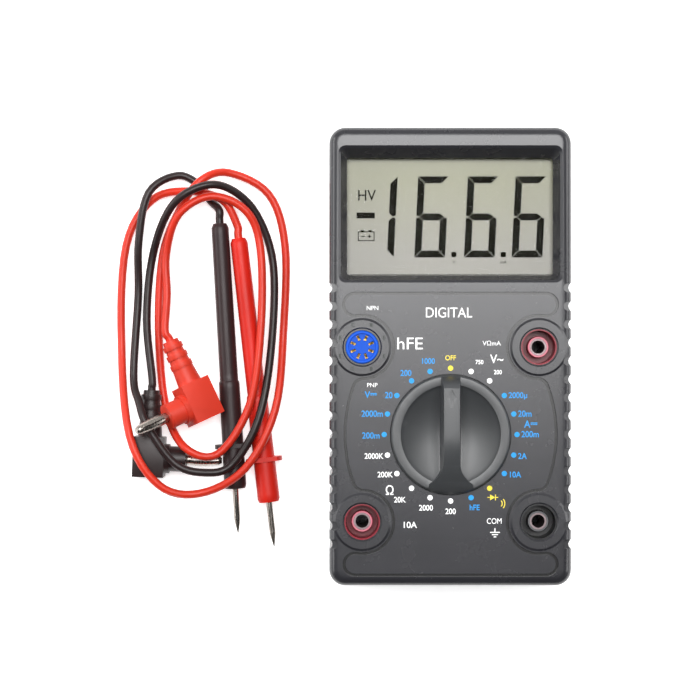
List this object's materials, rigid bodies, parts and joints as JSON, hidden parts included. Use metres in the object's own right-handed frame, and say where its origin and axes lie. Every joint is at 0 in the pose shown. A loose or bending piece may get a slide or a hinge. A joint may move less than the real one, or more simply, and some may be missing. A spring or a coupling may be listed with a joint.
{
  "type": "digital multimeter",
  "caption": "Handheld digital multimeter with a large display, rotary range selector, plug sockets, tilt stand and a pair of coiled test leads.",
  "frame": {"origin": "middle of the meter's back resting face", "axes": "+Z out of the dial face, +Y towards the display end, +X to the right when reading the dial"},
  "size_m": [0.1444, 0.142, 0.0435],
  "materials": {
    "case_plastic": "fine-textured moulded ABS",
    "window_clear": "clear moulded acrylic",
    "lcd_glass": "grey-green reflective liquid crystal panel",
    "white_plastic": "satin",
    "elastomer": "matt silicone",
    "board_laminate": "solder-masked glass laminate",
    "steel": "zinc plated",
    "nickel": "nickel plated brass",
    "brass": "bright",
    "red_plastic": "satin",
    "black_plastic": "satin",
    "blue_plastic": "satin",
    "knob_plastic": "satin moulded ABS",
    "battery_jacket": "satin",
    "red_wire": "satin vinyl",
    "black_wire": "satin vinyl",
    "clear_glass": "clear tube",
    "copper_alloy": "oxidised",
    "ceramic": "coated ceramic",
    "epoxy": "cured drop",
    "red_vinyl": "glossy soft vinyl",
    "black_vinyl": "glossy soft vinyl",
    "red_grip": "satin moulded",
    "black_grip": "satin moulded"
  },
  "bodies": {
    "meter": {"rear_case": "case_plastic", "front_case": "case_plastic", "display_window": "window_clear", "lcd_panel": "lcd_glass", "lcd_frame": "white_plastic", "zebra_strips": "elastomer", "circuit_board": "board_laminate", "board_screws": "steel", "case_screws": "steel", "jack_insert_volt": "red_plastic", "jack_insert_10a": "red_plastic", "jack_insert_com": "black_plastic", "jack_sleeves": "nickel", "transistor_socket": "blue_plastic", "socket_contacts": "brass", "battery": "battery_jacket", "battery_terminals": "steel", "battery_snap": "black_plastic", "battery_wire_red": "red_wire", "battery_wire_black": "black_wire", "fuse_glass": "clear_glass", "fuse_caps": "nickel", "fuse_clips": "brass", "shunt_bar": "copper_alloy", "buzzer_disc": "brass", "buzzer_wires": "red_wire", "chip_blob": "epoxy", "resistors": "ceramic", "capacitors": "battery_jacket", "calibration_trimmer": "blue_plastic"},
    "selector": {"selector_knob": "knob_plastic", "detent_balls": "steel", "detent_springs": "steel", "contact_wipers": "brass"},
    "cover": {"battery_cover": "case_plastic"},
    "stand": {"tilt_stand": "knob_plastic"},
    "test_leads": {"red_cable": "red_vinyl", "red_plug_body": "red_vinyl", "red_plug_pin": "nickel", "red_probe_handle": "red_grip", "red_probe_tip": "nickel", "black_cable": "black_vinyl", "black_plug_body": "black_vinyl", "black_plug_pin": "nickel", "black_probe_handle": "black_grip", "black_probe_tip": "nickel"}
  },
  "joints": [
    {"name": "selector_turn", "type": "hinge", "parent": "meter", "child": "selector", "pos_m": [0, -0.0241, 0.035], "axis": [0, 0, 1], "continuous": true},
    {"name": "stand_fold", "type": "hinge", "parent": "meter", "child": "stand", "pos_m": [0, 0.008, 0.0019], "axis": [1, 0, 0], "range_deg": [0, 60]},
    {"name": "battery_cover_slide", "type": "slide", "parent": "meter", "child": "cover", "axis": [0, 1, 0], "range_m": [0, 0.048]},
    {"name": "leads_lift", "type": "slide", "parent": "meter", "child": "test_leads", "axis": [0, 0, 1], "range_m": [0, 0.06]}
  ]
}
